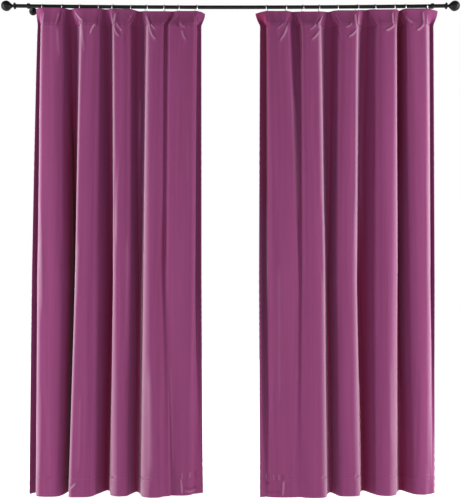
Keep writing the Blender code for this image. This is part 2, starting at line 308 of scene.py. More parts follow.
def knots_at(panel, z):
    """The stations at the heights z as points, with one more mirrored on at each end."""
    head, tape, mid, hem = panel["sections"][:, :, None, :]
    high = np.clip((HEAD_TOP - z) / (HEAD_TOP - TAPE_Z), 0, 1) ** HEAD_PINCH
    upper = np.clip((TAPE_Z - z) / (TAPE_Z - MID_Z), 0, 1) ** 0.8
    lower = np.clip((MID_Z - z) / (MID_Z - HEM_Z), 0, 1)
    plan = mix(mix(mix(head, tape, high[:, None]), mid, upper[:, None]), hem, lower[:, None])
    fade = np.clip((z - TAPE_Z) / (HEAD_TOP - TAPE_Z), 0, 1) * MM
    heights = z[None, :] - panel["drops"][:, None] * fade[None, :]
    knots = np.stack([plan[..., 0] * MM, -plan[..., 1] * MM, heights], axis=-1)
    first = 2 * knots[:1] - knots[1:2]
    last = 2 * knots[-1:] - knots[-2:-1]
    return np.concatenate([first, knots, last])


def hang(panel, across, z):
    """Points of the cloth's middle surface, across metres from its outer edge when flat."""
    flat = panel["flat"]
    span = np.clip(np.searchsorted(flat, across, side="right") - 1, 0, len(flat) - 2)
    share = (across - flat[span]) / (flat[span + 1] - flat[span])
    knots = knots_at(panel, z)
    each = np.arange(len(z))
    p = [knots[span + k, each] for k in range(4)]
    t = [np.zeros(len(z))]
    for a, b in zip(p, p[1:]):
        t.append(t[-1] + np.maximum(np.linalg.norm(b - a, axis=1), 1e-6) ** 0.5)
    s = mix(t[1], t[2], share)
    a = [mix(p[k], p[k + 1], ((s - t[k]) / (t[k + 1] - t[k]))[:, None]) for k in range(3)]
    b = [mix(a[k], a[k + 1], ((s - t[k]) / (t[k + 2] - t[k]))[:, None]) for k in range(2)]
    points = mix(b[0], b[1], ((s - t[1]) / (t[2] - t[1]))[:, None])
    points *= (panel["side"], 1, 1)
    points[:, 1] -= ROD_OUT
    fade = np.clip((z - TAPE_Z) / (HEAD_TOP - TAPE_Z), 0, 1)
    points[:, 2] += rod_height(points[:, 0]) * fade
    return points


def flat_places(panel):
    """Where the stations lie across the flat cloth, from the mean length of each span."""
    spans = []
    for section in panel["sections"]:
        spans.append(np.linalg.norm(np.diff(section, axis=0), axis=1))
    places = np.concatenate([[0], np.cumsum(np.mean(spans[1:], axis=0))])
    return places / places[-1] * FLAT_WIDTH


for label, panel in PANELS.items():
    panel["flat"] = flat_places(panel)
    print(label, "stations across the flat cloth:", np.round(panel["flat"], 3).tolist())

# %% [markdown]
# ## Creases
# Velvet that is gathered by stitches puckers beside them. Each main crease is listed: it
# runs from one point to another of a fold, bowed to one side, and is a soft ridge or, with a
# negative lift, a soft trough. Places are in millimetres: x from the middle, drop below the rod.

# %% Crease tables
Crease = namedtuple("Crease", "fold x drop end_x end_drop bow width lift")

LEFT["creases"] = [Crease(*row) for row in (
    # heading and the puckers under its seam
    (1, 741, 19, 754, 85, 0, 6, -4.2), (1, 750, 32, 759, 89, 0, 5, 2.3),
    (1, 754, 93, 746, 242, 2, 11, 2.4), (1, 826, 32, 826, 98, 0, 5, -3),
    (1, 815, 28, 818, 98, 0, 6, 1.9), (2, 682, 28, 641, 74, 2, 6, 3.7),
    (2, 689, 37, 663, 74, 2, 6, -3.4), (2, 580, 37, 585, 98, 0, 5, -3.7),
    (2, 586, 85, 610, 133, 5, 5, 3.7), (2, 647, 98, 632, 220, 3, 10, 1.9),
    (3, 515, 28, 512, 111, 0, 5, -3), (3, 501, 28, 506, 76, 0, 5, 2.6),
    (3, 507, 102, 483, 143, 5, 4, 4.2), (3, 499, 80, 469, 120, 4, 5, 2.6),
    (3, 425, 32, 449, 80, -2, 6, -4.2), (3, 436, 37, 445, 80, 0, 5, 2.5),
    (3, 450, 80, 460, 189, 2, 7, -2.6), (4, 368, 37, 353, 102, 0, 6, 3.4),
    (4, 358, 40, 343, 92, 0, 5, -2.6), (4, 353, 102, 323, 159, 6, 5, 4.2),
    (4, 347, 85, 325, 111, 4, 5, 2.3), (4, 264, 37, 283, 80, -2, 6, -4.2),
    (4, 286, 85, 288, 176, 0, 7, -2.6), (5, 233, 32, 231, 76, 0, 5, 2.6),
    (5, 229, 37, 218, 106, 0, 5, -3), (5, 211, 111, 190, 163, 5, 5, 3.4),
    (5, 216, 72, 194, 106, 4, 5, 2.3), (5, 146, 37, 142, 102, 0, 5, -3),
    (5, 159, 32, 159, 85, 0, 5, 2.3),
    # hem
    (1, 796, 2060, 770, 2061, 2, 4, -3.6), (2, 700, 2116, 669, 2081, 2, 6, 3.1),
    (3, 524, 2060, 505, 2061, 2, 4, -3.6), (4, 391, 2066, 375, 2066, 2, 4, -3.6),
    (5, 211, 2040, 209, 2072, 1, 4, 3.6), (5, 190, 2044, 190, 2070, 1, 3, -3.6),
    (5, 177, 2040, 180, 2070, 1, 4, 4.1), (5, 157, 2042, 155, 2070, 1, 4, -4.1),
    (5, 217, 2066, 212, 2140, -2, 5, 5.1), (5, 207, 2110, 150, 2112, 3, 5, -4.1),
    (5, 205, 2122, 150, 2126, 3, 6, 3.6),
)]
RIGHT["creases"] = [Crease(*row) for row in (
    (5, 155, 32, 155, 85, 0, 5, 2.6), (5, 164, 37, 166, 102, 0, 5, -3),
    (5, 246, 93, 211, 167, 6, 5, 4.2), (5, 233, 80, 198, 111, 4, 5, 2.3),
    (5, 259, 37, 242, 93, 2, 6, -3.4), (4, 286, 37, 307, 93, -2, 6, -4.2),
    (4, 310, 93, 312, 242, 0, 7, -2.6), (4, 403, 32, 384, 85, 0, 6, 3.4),
    (4, 392, 40, 374, 92, 0, 5, -2.6), (4, 390, 106, 351, 159, 6, 5, 4.2),
    (4, 377, 85, 342, 115, 4, 5, 2.3), (3, 460, 37, 482, 93, -2, 6, -4.2),
    (3, 469, 102, 499, 198, 2, 7, -2.3), (3, 545, 28, 544, 85, 0, 5, 2.6),
    (3, 554, 28, 554, 106, 0, 5, -2.8), (3, 565, 28, 565, 85, 0, 5, 2.6),
    (3, 552, 106, 512, 146, 6, 5, 4.2), (3, 530, 85, 499, 102, 4, 5, 2.5),
    (2, 617, 41, 639, 98, -2, 6, -4.2), (2, 708, 24, 708, 89, 0, 5, 2.6),
    (2, 717, 28, 719, 102, 0, 5, -2.8), (2, 713, 93, 674, 117, 5, 5, 4.2),
    (1, 748, 32, 761, 93, -2, 6, -4.2), (1, 765, 41, 796, 85, -2, 6, 3.4),
    (1, 844, 85, 809, 117, 5, 5, 4.2), (1, 841, 24, 841, 80, 0, 5, 2.3),
    (1, 854, 32, 851, 89, 0, 5, -2.8), (4, 401, 2060, 419, 2061, 2, 4, -3.6),
    (3, 545, 2060, 562, 2060, 2, 4, -3.6), (2, 715, 2043, 741, 2043, 2, 4, -3.6),
    (5, 153, 2040, 157, 2070, 1, 4, 4.1), (5, 170, 2042, 171, 2070, 1, 3, -3.6),
    (5, 185, 2040, 188, 2070, 1, 4, 3.8), (5, 207, 2042, 210, 2072, 1, 4, 3.6),
    (5, 225, 2044, 229, 2072, 1, 4, -3.6), (5, 229, 2068, 225, 2138, 2, 5, 5.1),
    (5, 137, 2080, 174, 2088, 2, 5, -4.1), (5, 150, 2123, 220, 2122, 3, 5, -3.8),
)]
# hollows painted darker, as painted shade, since they take hardly any light: fold, top, bottom,
# strength
LEFT["shaded"] = [(1, -0.30, -2.50, 1.0)]
RIGHT["shaded"] = [(1, 0.30, -0.90, 0.7), (5, 0.30, -1.10, 0.8)]
print("creases:", len(LEFT["creases"]), "and", len(RIGHT["creases"]))

# %% [markdown]
# A crease is kept in flat places, so it stays on its own threads. To find them, the fold's flat
# width is tried in small steps, and the step that hangs nearest to the wanted x wins. Where two
# walls of a fold pass the same x, the one nearer the room counts.

# %% Creases in flat places
ACROSS_STEP = 0.0005
WALL_COST = 0.15              # what a place further from the room costs in that choice


def flat_across(panel, fold, x, drop):
    """Distance across the flat cloth of the place that hangs at x and drop, on one fold."""
    low, high = panel["flat"][6 * fold - 5], panel["flat"][min(6 * fold, 31)]
    tries = np.arange(low - 0.004, high + 0.012, ACROSS_STEP)
    tries = np.clip(tries, 0.0005, FLAT_WIDTH - 0.0005)
    points = hang(panel, tries, np.full(len(tries), -drop * MM))
    cost = np.abs(np.abs(points[:, 0]) - x * MM)
    cost += WALL_COST * (points[:, 1] - points[:, 1].min())
    return float(tries[np.argmin(cost)])


def flat_creases(panel):
    """The listed creases as rows of: across, z, end across, end z, bow, width, lift."""
    rows = []
    for c in panel["creases"]:
        start = flat_across(panel, c.fold, c.x, c.drop)
        end = flat_across(panel, c.fold, c.end_x, c.end_drop)
        rows.append((start, -c.drop * MM, end, -c.end_drop * MM,
                     c.bow * MM, c.width * MM, c.lift * MM))
    return rows


def long_waves(seed, count):
    """Long, low, upright waves that the weight of the cloth pulls into it."""
    draw = np.random.RandomState(seed)
    rows = []
    for _ in range(count):
        across = draw.uniform(0.03, FLAT_WIDTH - 0.03)
        top = draw.uniform(-1.75, -0.11)
        length = draw.uniform(0.25, 0.90)
        bottom = max(top - length, HEM_Z + 0.06)
        lean = draw.uniform(-0.018, 0.018)
        lift = draw.uniform(0.7, 1.9) * (1 if draw.rand() < 0.5 else -1)
        rows.append((across, top, np.clip(across + lean, 0.02, FLAT_WIDTH - 0.02), bottom,
                     draw.uniform(-0.006, 0.006), draw.uniform(0.008, 0.018), lift * MM))
    return rows


for seed, panel in enumerate(PANELS.values()):
    panel["ridges"] = flat_creases(panel) + long_waves(seed + 3, 46)
print("ridges and troughs:", [len(panel["ridges"]) for panel in PANELS.values()])

# %% [markdown]
# ## Seams and hems
# A row of stitches pulls the cloth in, and the pile swells on both sides of it. The heading's
# seam, the bottom hem and the two side hems are such rows. Along the side hems the thread is
# tighter than the cloth, so the edge puckers in short waves.

# %% How far a point stands off the smooth hanging surface
HEM_SEAM = 0.078              # stitches above the lower edge
SIDE_SEAM = 0.018             # stitches in from a side edge
SEAM_WIDTH = 0.0032
SEAM_DEPTH = 0.0009
PUCKER_PITCH = 0.031
PUCKER_LIFT = 0.0007
PACK_LINES = (-0.672, -1.355)  # faint level creases from the package
PACK_DEPTH = 0.0003
HEADING_GATHERS = 0.0005      # lift of the small gathers beside the heading's seam
HEM_GATHERS = 0.0003          # and beside the hem's
BEND_REACH = 0.006            # distance over which the bend of the cloth is felt
FULL_BEND = 112.0             # bend, per metre, that gives the full pale tips and painted highlight
HEADING_HIGHLIGHT = 0.3           # the stiff heading's walls get less of the painted highlight
RIDGE_HIGHLIGHT_AND_SHADE = 85              # painted highlight on a ridge, per metre of its lift
TROUGH_SHARE = 0.3            # and painted shade in a trough, as this share of that
BEND_TIPS_AND_HIGHLIGHT = 0.66             # how much pale tips and painted highlight a full bend gives,
OUTWARD_HIGHLIGHT = 0.36             # and a wall that faces outward, towards the side lights
BEND_SCALE = 2.6              # turns the distance from the neighbours' mean into a bend
NEIGHBOURS = ((1, 0, 0.38), (-1, 0, 0.38), (0, 1, 0.12), (0, -1, 0.12))  # aside, up, weight
EDGE_HOLLOW = 0.3             # the cloth's inner edge gets less painted shade
HOLLOW_DEEPENS = 1.3          # metres below the rod at which the painted shade of a hollow is darkest
LAST_FOLD_HIGHLIGHT = 0.25        # the last fold is soft, so it gets less of the painted highlight
WEAVE = 0.48                  # what stands for the pile on the back of the cloth
HOLLOW_START = 0.025          # depth in front of the rod's axis at which the painted shade of a hollow begins
HOLLOW_RANGE = 0.060          # and how much deeper it reaches its full painted shade


def ridge_lift(row, across, z):
    start, top, end, bottom, bow, width, lift = row
    run, fall = end - start, bottom - top
    length = math.hypot(run, fall)
    along = ((across - start) * run + (z - top) * fall) / length ** 2
    aside = ((across - start) * fall - (z - top) * run) / length
    inside = np.clip(along, 0, 1)
    aside = aside - bow * 4 * inside * (1 - inside)
    beyond = (along - inside) * length
    ends = np.clip(np.minimum(inside, 1 - inside) * 5, 0, 1)
    ends = 0.25 + 0.75 * ends * ends * (3 - 2 * ends)
    return lift * ends * np.exp(-(aside ** 2 + beyond ** 2) / width ** 2)


def seam_lift(distance):
    """A stitched line: pulled in along it, swollen a little on both sides."""
    near = np.exp(-(distance / SEAM_WIDTH) ** 2)
    swell = np.exp(-((np.abs(distance) - 2.6 * SEAM_WIDTH) / (1.6 * SEAM_WIDTH)) ** 2)
    return -SEAM_DEPTH * near + 0.35 * SEAM_DEPTH * swell


def ridges_lift(panel, across, z):
    """The lift of all ridges and troughs together."""
    total = np.zeros(len(z))
    for row in panel["ridges"]:
        near = np.abs(z - (row[1] + row[3]) / 2) < abs(row[1] - row[3]) / 2 + 3 * row[5]
        total[near] += ridge_lift(row, across[near], z[near])
    return total


def lift_at(panel, across, z):
    """How far each point stands off the smooth surface, towards the room."""
    total = ridges_lift(panel, across, z)
    total += seam_lift(z - TAPE_Z) * 1.3
    total += seam_lift(z - (HEM_Z + HEM_SEAM))
    below = np.clip((TAPE_Z - z) / 0.05, 0, 1)
    for edge in (across, FLAT_WIDTH - across):
        total += seam_lift(edge - SIDE_SEAM) * below
        wave = np.sin(2 * np.pi * (z + 0.012 * np.sin(z * 23)) / PUCKER_PITCH)
        strength = 0.5 + 0.5 * np.sin(z * 9.1 + 1.3)
        total += PUCKER_LIFT * wave * strength * np.exp(-(edge / 0.014) ** 2) * below
    for line in PACK_LINES:
        total -= PACK_DEPTH * np.exp(-((z - line - 0.004 * np.sin(across * 17)) / 0.008) ** 2)
    # small gathers that the heading's stitches leave above and under them
    gather = np.sin(across * 430 + 2.2 * np.sin(across * 61)) * np.sin(across * 97 + 0.7)
    total += HEADING_GATHERS * gather * np.exp(-((z - TAPE_Z) / 0.020) ** 2)
    # the bottom hem is doubled, and its stitches leave small gathers too
    gather = np.sin(across * 330 + 2.0 * np.sin(across * 53)) * np.sin(across * 71 + 0.2)
    total += HEM_GATHERS * gather * np.exp(-((z - HEM_Z - HEM_SEAM) / 0.012) ** 2)
    return total


def surface(panel, across, z):
    """Points of the creased middle surface and normals that point to the room."""
    e = 0.0004
    left = np.maximum(across - e, 0.0)
    right = np.minimum(across + e, FLAT_WIDTH)
    high = np.minimum(z + e, HEAD_TOP)
    low = np.maximum(z - e, HEM_Z)
    along = hang(panel, right, z) - hang(panel, left, z)
    down = hang(panel, across, low) - hang(panel, across, high)
    normals = -panel["side"] * np.cross(down, along)
    normals /= np.linalg.norm(normals, axis=1)[:, None]
    points = hang(panel, across, z) + normals * lift_at(panel, across, z)[:, None]
    return points, normals


def pile_painted_light(panel, across, z):
    """Painted light on the pile: 0.5 where flat, 1 for pale tips with painted highlight on a
    sharp bend to the room, down to 0 for painted shade in a hollow, or to -0.5 in a shaded one."""
    middle, normals = surface(panel, across, z)
    around = np.zeros_like(middle)
    for aside, up, weight in NEIGHBOURS:
        beside = surface(panel, np.clip(across + aside * BEND_REACH, 0, FLAT_WIDTH),
                         np.clip(z + up * BEND_REACH, HEM_Z, HEAD_TOP))[0]
        around += beside * weight
    bend = BEND_SCALE * np.sum(normals * (middle - around), axis=1) / BEND_REACH ** 2
    outward = normals[:, 0] * panel["side"]
    # the light comes from the sides, so only bends that face outward get the pale tips and
    # painted highlight
    bend *= np.where(bend > 0, np.clip(0.45 + 2.2 * outward, 0.15, 1), 0.25) / FULL_BEND
    # painted shade: the deeper a place stands behind the faces, the darker it is painted, and
    # darker towards the bottom
    depth = -ROD_OUT - middle[:, 1]
    hollow_shade = np.clip((HOLLOW_START - depth) / HOLLOW_RANGE, 0, 1)
    hollow_shade[across < panel["flat"][1]] = 0
    hollow_shade[across > panel["flat"][28]] *= EDGE_HOLLOW
    hollow_shade *= np.clip(-z / HOLLOW_DEEPENS, 0.6, 1)
    # painted highlight on walls that face outward, towards the side lights
    lean = np.clip((outward - 0.10) / 0.55, 0, 1) * (1 - hollow_shade)
    lean[z > TAPE_Z] *= HEADING_HIGHLIGHT
    painted_light = BEND_TIPS_AND_HIGHLIGHT * bend + OUTWARD_HIGHLIGHT * lean
    painted_light[(across > panel["flat"][24]) & (painted_light > 0)] *= LAST_FOLD_HIGHLIGHT
    # ridges are painted lighter and troughs darker, as painted highlight and painted shade
    ridges = ridges_lift(panel, across, z)
    painted_light += RIDGE_HIGHLIGHT_AND_SHADE * np.where(ridges > 0, ridges, TROUGH_SHARE * ridges)
    # more painted shade in the hollows listed as taking hardly any light
    for fold, top, bottom, share in panel["shaded"]:
        ends = panel["flat"][6 * fold - 2], panel["flat"][min(6 * fold + 2, 31)]
        inside = (across > ends[0]) & (across < ends[1])
        fade = np.clip((top - z) / 0.3, 0, 1) * np.clip((z - bottom) / 0.3, 0, 1)
        hollow_shade += share * inside * fade * np.clip((0.04 - depth) / 0.05, 0, 1)
    return np.clip(0.5 + painted_light - 0.5 * hollow_shade, -0.5, 1)


probe = surface(LEFT, np.array([0.10, 0.66]), np.array([-0.05, -1.2]))
print("two points of the left cloth:", np.round(probe[0], 4).tolist())

# %% [markdown]
# ## The flat cloths, hung
# Each cloth starts as a flat grid of its cut size. The rows stand closer in the heading, at the
# level creases and in the hem, where the detail is, and the heading and side hems are divided
# once more. Then every point is hung. Solidify gives the cloth its thickness, a little more
# where it is doubled at its hems. The UV map keeps the flat places in metres, so the pattern
# follows the threads, and an attribute holds at each point the painted light on the pile: pale
# tips with a painted highlight on bends to the room, painted shade in the hollows.

# %% Helpers for making pieces


def deselect():
    if bpy.context.object and bpy.context.object.mode == "EDIT":
        bpy.ops.object.mode_set(mode="OBJECT")
    bpy.ops.object.select_all(action="DESELECT")


def activate(obj):
    deselect()
    obj.select_set(True)
    bpy.context.view_layer.objects.active = obj
    return obj


def apply_modifiers(obj):
    activate(obj)
    for modifier in list(obj.modifiers):
        bpy.ops.object.modifier_apply(modifier=modifier.name)


def coords(obj):
    flat = np.empty(len(obj.data.vertices) * 3)
    obj.data.vertices.foreach_get("co", flat)
    return flat.reshape(-1, 3)


def set_coords(obj, points):
    obj.data.vertices.foreach_set("co", np.asarray(points, dtype=float).ravel())
    obj.data.update()


def triangles(obj):
    return sum(len(face.vertices) - 2 for face in obj.data.polygons)


def select_all(action="SELECT"):
    bpy.ops.object.mode_set(mode="EDIT")
    bpy.ops.mesh.select_all(action=action)


def spin_closed(obj, steps, weld):
    """Spin a section once round the X axis and weld the last step to the first."""
    select_all()
    bpy.ops.mesh.spin(steps=steps, angle=2 * math.pi, center=(0, 0, 0), axis=(1, 0, 0))
    close_mesh(weld)


def close_mesh(weld=None):
    """Weld what meets, turn the faces outward and leave edit mode."""
    bpy.ops.mesh.select_all(action="SELECT")
    if weld:
        bpy.ops.mesh.remove_doubles(threshold=weld)
    bpy.ops.mesh.normals_make_consistent(inside=False)
    bpy.ops.object.mode_set(mode="OBJECT")


def new_primitive(make, **values):
    """A primitive with its turn and size applied, nothing else selected."""
    deselect()
    make(**values)
    obj = bpy.context.object
    bpy.ops.object.transform_apply(location=True, rotation=True, scale=True)
    return obj


def link(name, mesh):
    obj = bpy.data.objects.new(name, mesh)
    bpy.context.scene.collection.objects.link(obj)
    return obj


def hand_over(piece, node, slot):
    """Let a finished piece ride the frame and stand for one of its nodes."""
    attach(piece, "root")
    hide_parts(node)
    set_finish(piece, slot)
    return piece


# %% Cut and hang the cloths
COLUMNS = 232
FINE_DEPTH = 0.150            # how far down the heading's fine grid reaches
SIDE_FINE = 0.030
ROW_WEIGHTS = (               # height, reach, extra closeness of the rows
    (-0.080, 0.070, 2.6), (-0.672, 0.030, 1.2), (-1.355, 0.030, 1.2), (-2.090, 0.075, 3.0),
)
ROWS = 134


def row_places():
    """Flat heights over the hem of the rows, closer where the cloth has fine detail."""
    z = np.linspace(HEM_Z, HEAD_TOP, 4000)
    density = np.ones(len(z))
    for height, reach, extra in ROW_WEIGHTS:
        density += extra * np.exp(-((z - height) / reach) ** 4)
    total = np.concatenate([[0], np.cumsum((density[1:] + density[:-1]) / 2)])
    return np.interp(np.linspace(0, total[-1], ROWS + 1), total, z - HEM_Z)


def cut_cloth(name):
    """The flat cut piece, lying with its lower left corner at the origin."""
    deselect()
    bpy.ops.mesh.primitive_grid_add(
        x_subdivisions=COLUMNS, y_subdivisions=ROWS, size=1, location=(0, 0, 0))
    cloth = bpy.context.object
    cloth.name = cloth.data.name = name
    flat = coords(cloth) + (0.5, 0.5, 0)
    row = np.rint(flat[:, 1] * ROWS).astype(int)
    flat[:, 0] *= FLAT_WIDTH
    flat[:, 1] = row_places()[row]
    set_coords(cloth, flat)
    select_all("DESELECT")
    bpy.ops.object.mode_set(mode="OBJECT")
    for face in cloth.data.polygons:
        x, y, _ = face.center
        side = x < SIDE_FINE or x > FLAT_WIDTH - SIDE_FINE
        face.select = y > FLAT_LENGTH - FINE_DEPTH or side
    bpy.ops.object.mode_set(mode="EDIT")
    bpy.ops.mesh.subdivide(number_cuts=1)
    bpy.ops.object.mode_set(mode="OBJECT")
    return cloth


def write_uv(cloth):
    """The UV map holds the flat places in metres."""
    layer = cloth.data.uv_layers[0]
    layer.name = "flat cloth"
    flat = coords(cloth)[:, :2]
    loops = np.empty(len(cloth.data.loops), dtype=int)
    cloth.data.loops.foreach_get("vertex_index", loops)
    layer.data.foreach_set("uv", flat[loops].ravel())


def hang_cloth(label, panel):
    cloth = cut_cloth("cloth_" + label)
    write_uv(cloth)
    flat = coords(cloth)
    across = flat[:, 0] if panel["side"] < 0 else FLAT_WIDTH - flat[:, 0]
    z = flat[:, 1] + HEM_Z
    doubled = cloth.vertex_groups.new(name="doubled")
    edge = np.minimum(across, FLAT_WIDTH - across)
    twice = (z < HEM_Z + HEM_SEAM) | (edge < SIDE_SEAM)
    doubled.add(np.flatnonzero(twice).tolist(), 1.0, "REPLACE")
    points, normals = surface(panel, across, z)
    set_coords(cloth, points)
    solidify = cloth.modifiers.new("thickness", "SOLIDIFY")
    solidify.thickness = CLOTH * 1.35
    solidify.offset = 0
    solidify.vertex_group = "doubled"
    solidify.thickness_vertex_group = 1 / 1.35
    apply_modifiers(cloth)
    bpy.ops.object.shade_smooth()
    # the pile, with its painted highlight and painted shade, is on the front only; the back is
    # the plain weave
    pile_and_painted_light = np.full((2, len(points)), WEAVE)
    for shell, side in zip(pile_and_painted_light, coords(cloth).reshape(2, -1, 3)):
        if np.sum((side - points) * normals) > 0:
            shell[:] = pile_painted_light(panel, across, z)
    layer = cloth.data.attributes.new("pile_and_painted_light", "FLOAT", "POINT")
    layer.data.foreach_set("value", pile_and_painted_light.ravel())
    return hand_over(cloth, "panel_" + label, "velvet")


CLOTHS = {label: hang_cloth(label, panel) for label, panel in PANELS.items()}
for label, cloth in CLOTHS.items():
    print(cloth.name, "has", triangles(cloth), "triangles")

# %% [markdown]
# ## Stitches
# The thread of a lockstitch shows as a row of short, rounded dashes sunk into the pile. One
# stitch is modelled, a five-sided bar with tapered ends, and its copies are laid along each seam.

# %% One stitch
STITCH_LENGTH = 0.0034
STITCH_PITCH = 0.0048
THREAD = 0.00042              # radius


def model_stitch():
    """A bar along X with drawn-in ends."""
    stitch = new_primitive(
        bpy.ops.mesh.primitive_cylinder_add, vertices=5, radius=THREAD,
        depth=STITCH_LENGTH * 0.55, rotation=(0, math.pi / 2, 0))
    for end in (-1, 1):
        select_all("DESELECT")
        bpy.ops.object.mode_set(mode="OBJECT")
        for face in stitch.data.polygons:
            face.select = face.normal.x * end > 0.9
        bpy.ops.object.mode_set(mode="EDIT")
        shift = (end * STITCH_LENGTH * 0.225, 0, -THREAD * 0.9)
        bpy.ops.mesh.extrude_region_move(TRANSFORM_OT_translate={"value": shift})
        bpy.ops.transform.resize(
            value=(1, 0.5, 0.5),
            center_override=(end * STITCH_LENGTH / 2, 0, -THREAD * 0.9))
    bpy.ops.object.mode_set(mode="OBJECT")
    return stitch


stitch = model_stitch()
stitch_points = coords(stitch)
stitch_faces = [tuple(face.vertices) for face in stitch.data.polygons]
bpy.data.objects.remove(stitch, do_unlink=True)
print("one stitch:", len(stitch_faces), "faces")

# %% Rows of stitches


def stitch_row(name, panel, line):
    """Copies of the stitch along a line of flat places, lying on the front of the cloth."""
    across, z = (np.asarray(values, dtype=float) for values in zip(*line))
    points, normals = surface(panel, across, z)
    steps = np.linalg.norm(np.diff(points, axis=0), axis=1)
    run = np.concatenate([[0], np.cumsum(steps)])
    at = np.arange(STITCH_PITCH / 2, run[-1], STITCH_PITCH)
    place = np.stack([np.interp(at, run, points[:, k]) for k in range(3)], axis=1)
    up = np.stack([np.interp(at, run, normals[:, k]) for k in range(3)], axis=1)
    ahead = np.stack([np.interp(at + 0.001, run, points[:, k]) for k in range(3)], axis=1) - place
    ahead /= np.maximum(np.linalg.norm(ahead, axis=1), 1e-9)[:, None]
    across_it = np.cross(up, ahead)
    place += up * (CLOTH / 2 + THREAD * 0.5)
    frames = np.stack([ahead, across_it, up], axis=1)
    made = np.einsum("pj,sjk->spk", stitch_points, frames) + place[:, None, :]
    count = len(stitch_points)
    faces = [tuple(i + k * count for i in face) for k in range(len(at)) for face in stitch_faces]
    mesh = bpy.data.meshes.new(name)
    mesh.from_pydata(made.reshape(-1, 3).tolist(), [], faces)
    row = link(name, mesh)
    activate(row)
    bpy.ops.object.shade_smooth()
    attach(row, "root")
    return row


def line_of(across, z, count):
    return list(zip(np.linspace(*across, count), np.linspace(*z, count)))


SEAMS = {
    "heading": ((0.004, FLAT_WIDTH - 0.004), (TAPE_Z, TAPE_Z)),
    "hem": ((0.004, FLAT_WIDTH - 0.004), (HEM_Z + HEM_SEAM,) * 2),
    "outer": ((SIDE_SEAM,) * 2, (TAPE_Z - 0.006, HEM_Z + 0.004)),
    "inner": ((FLAT_WIDTH - SIDE_SEAM,) * 2, (TAPE_Z - 0.006, HEM_Z + 0.004)),
}
ROWS_OF = {label: [] for label in PANELS}
for label, panel in PANELS.items():
    for seam, (across, z) in SEAMS.items():
        row = stitch_row(f"stitches_{label}_{seam}", panel, line_of(across, z, 900))
        ROWS_OF[label].append(row)
        print(row.name, triangles(row), "triangles")

# %% [markdown]
# ## Rings
# Each ring is a length of steel wire bent round and butt welded. It could be a torus, but then
# it would have no weld. A circle of the wire's size is spun round the ring's axis, and the
# weld is swelled a little. The rings hang turned by different small angles.

# %% One ring
RING_MIDDLE = RING_INNER + RING_WIRE
RING_STEPS = 60


def model_ring():
    """A ring in the YZ plane about the origin, its weld at the foot."""
    ring = new_primitive(
        bpy.ops.mesh.primitive_circle_add, vertices=12, radius=RING_WIRE,
        location=(0, 0, -RING_MIDDLE), rotation=(0, math.pi / 2, math.pi / 2))
    spin_closed(ring, RING_STEPS, 0.00001)
    points = coords(ring)
    middle = points * (0, 1, 1)
    middle *= RING_MIDDLE / np.linalg.norm(middle, axis=1)[:, None]
    around = np.arctan2(middle[:, 1], -middle[:, 2])
    swell = 1 + 0.16 * np.exp(-((np.abs(around) - 0.05) / 0.03) ** 2)
    set_coords(ring, middle + (points - middle) * swell[:, None])
    bpy.ops.object.shade_smooth()
    return ring


ring_model = model_ring()
print("one ring:", triangles(ring_model), "triangles, size", tuple(ring_model.dimensions))

# %% Twenty rings, each hung where the frame has it
RINGS = []


def place_ring(label, number, turn):
    node = f"ring_{label}_{number:02d}"
    low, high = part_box(node)
    ring = link("wire_" + node, ring_model.data.copy())
    spin = Matrix.Rotation(math.radians(turn), 4, "Z")
    ring.data.transform(Matrix.Translation((Vector(low) + Vector(high)) / 2) @ spin)
    return hand_over(ring, node, "ring_steel")


for label, panel in PANELS.items():
    for number, turn in enumerate(panel["turns"], 1):
        RINGS.append((place_ring(label, number, turn * panel["side"]), label))
bpy.data.objects.remove(ring_model, do_unlink=True)
print("rings placed:", len(RINGS))

# %% [markdown]
# ## Thread that holds the rings
# Each ring is sewn to the back of the heading with a few turns of thread round the wire and
# through the cloth. One turn is a spun loop, stretched to reach round both.

# %% One turn of thread


def model_wrap():
    """A loop of thread in the YZ plane, of unit size."""
    wrap = new_primitive(
        bpy.ops.mesh.primitive_circle_add, vertices=6, radius=0.16, location=(0, 0, -1),
        rotation=(0, math.pi / 2, math.pi / 2))
    spin_closed(wrap, 14, 0.001)
    bpy.ops.object.shade_smooth()
    return wrap


wrap_model = model_wrap()
print("one turn of thread:", triangles(wrap_model), "triangles")

# %% Sew the rings on
WRAP_SPREAD = (-0.22, -0.11, 0.0, 0.11, 0.22)   # turns of thread, as angles round the ring
WRAP_WIDTH = 0.0021
WRAP_SLACK = 0.0004           # thread to the wire that it goes round


def tree_of(obj):
    mesh = obj.data
    return BVHTree.FromPolygons([v.co for v in mesh.vertices],
                                [p.vertices for p in mesh.polygons])


def sew(ring, number, cloth_tree, turn):
    """Five turns of thread where the ring lies nearest to the cloth."""
    points = coords(ring)
    centre = Vector(points.mean(axis=0))
    spin = Matrix.Rotation(math.radians(turn), 3, "Z")

    def wire(angle):
        ray = spin @ Vector((0, -math.cos(angle), math.sin(angle)))
        return centre + ray * RING_MIDDLE

    angles = [math.radians(-70 + 2 * k) for k in range(40)]
    best = min(angles, key=lambda a: cloth_tree.find_nearest(wire(a))[3])
    wraps = []
    for lean in WRAP_SPREAD:
        at = wire(best + lean)
        target = cloth_tree.find_nearest(at)[0]
        reach = target - at
        away = reach.normalized()
        tangent = (wire(best + lean + 0.01) - at).normalized()
        sideways = away.cross(tangent).normalized()
        along = sideways.cross(away).normalized()
        far = at + away * (reach.length + CLOTH + GAP)
        near = at - away * (RING_WIRE + WRAP_SLACK)
        middle = (far + near) / 2
        half = (far - near).length / 2
        wrap = link(f"wrap_{number}", wrap_model.data.copy())
        columns = Matrix((along * WRAP_WIDTH, away * half, sideways * (RING_WIRE + WRAP_SLACK)))
        wrap.data.transform(Matrix.Translation(middle) @ columns.transposed().to_4x4())
        wraps.append(wrap)
    return wraps


